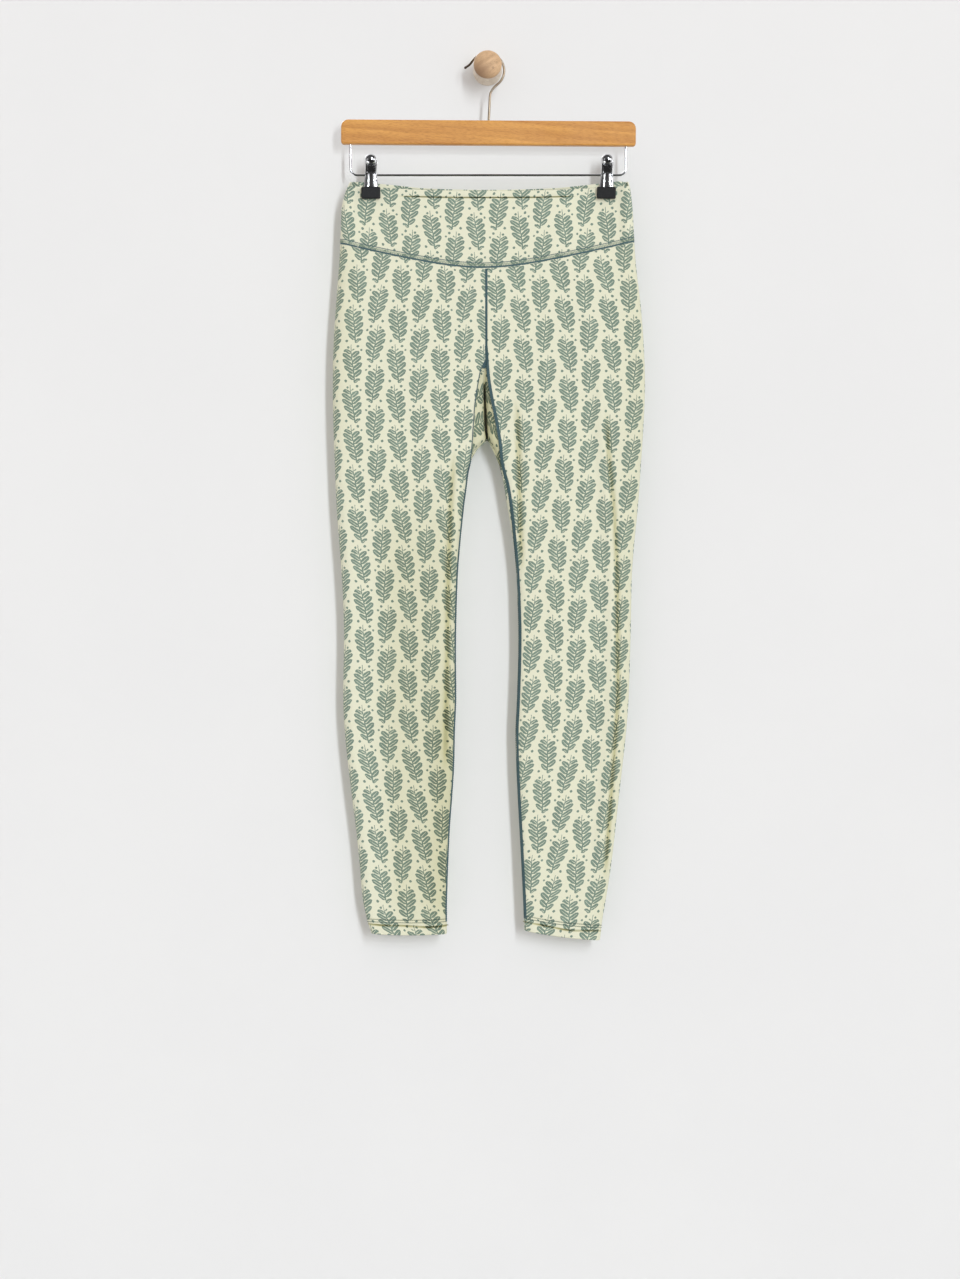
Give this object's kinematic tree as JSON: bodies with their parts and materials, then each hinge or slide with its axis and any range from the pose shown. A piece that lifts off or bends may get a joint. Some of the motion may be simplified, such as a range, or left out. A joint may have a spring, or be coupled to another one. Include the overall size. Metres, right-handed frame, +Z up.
{
  "type": "leggings on a clip hanger and wall peg",
  "caption": "Printed ankle-length leggings held at the waist by the two clips of a wooden-bar hanger, whose hook hangs over a round wooden wall peg.",
  "frame": {"origin": "centre of the peg's flat back, on the wall", "axes": "+Z up, along the hanging garment; +Y into the wall, so the garment's front faces -Y; +X to the wearer's left"},
  "size_m": [0.3965, 0.054, 1.127],
  "materials": {
    "waistband": "matt double knit, sage on cream print",
    "leg_cloth": "matt stretch jersey, sage on cream print",
    "hook_wire": "nickel plated wire",
    "bar_wood": "honey-coloured, satin lacquer",
    "clip_chrome": "bright chrome plate",
    "boot_rubber": "soft black rubber",
    "peg_wood": "pale bare wood",
    "knob_wood": "bare beech with a fine grain"
  },
  "bodies": {
    "root": {"waistband_front": "waistband", "waistband_back": "waistband", "leg_right": "leg_cloth", "leg_left": "leg_cloth", "gusset": "leg_cloth", "hanger_hook": "hook_wire", "hanger_bar": "bar_wood", "wire_frame": "clip_chrome", "clip_right_lever_front": "clip_chrome", "clip_right_lever_back": "clip_chrome", "clip_right_spring": "hook_wire", "clip_right_boot_front": "boot_rubber", "clip_right_boot_back": "boot_rubber", "clip_left_lever_front": "clip_chrome", "clip_left_lever_back": "clip_chrome", "clip_left_spring": "hook_wire", "clip_left_boot_front": "boot_rubber", "clip_left_boot_back": "boot_rubber", "peg_body": "peg_wood", "peg_knob": "knob_wood"}
  },
  "joints": []
}
